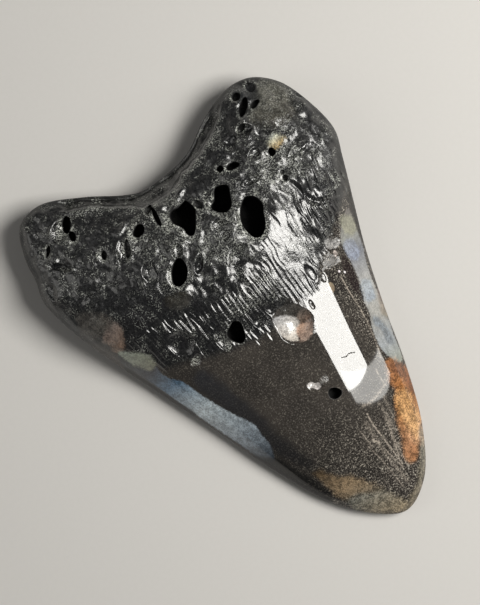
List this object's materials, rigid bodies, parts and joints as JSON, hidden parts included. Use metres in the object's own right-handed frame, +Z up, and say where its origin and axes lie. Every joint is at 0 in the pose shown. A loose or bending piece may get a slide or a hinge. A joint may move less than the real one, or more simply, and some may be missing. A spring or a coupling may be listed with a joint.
{
  "type": "megalodon tooth",
  "caption": "Polished fossil shark tooth lying on its flat face: near-black root with open borings, ridged band, and a banded brown-grey crown with fine holes.",
  "frame": {"origin": "on the surface the tooth lies on, under the middle of its box", "axes": "+Z up, away from the labial face it lies on; +Y from the tip towards the root; +X across the root, to the right when the tip points at the viewer"},
  "size_m": [0.0896, 0.1234, 0.0232],
  "materials": {
    "fossil": "polished, near-black root, brown-grey crown with cream, blue-grey and rust markings"
  },
  "bodies": {
    "root": {"tooth": "fossil"}
  },
  "joints": []
}
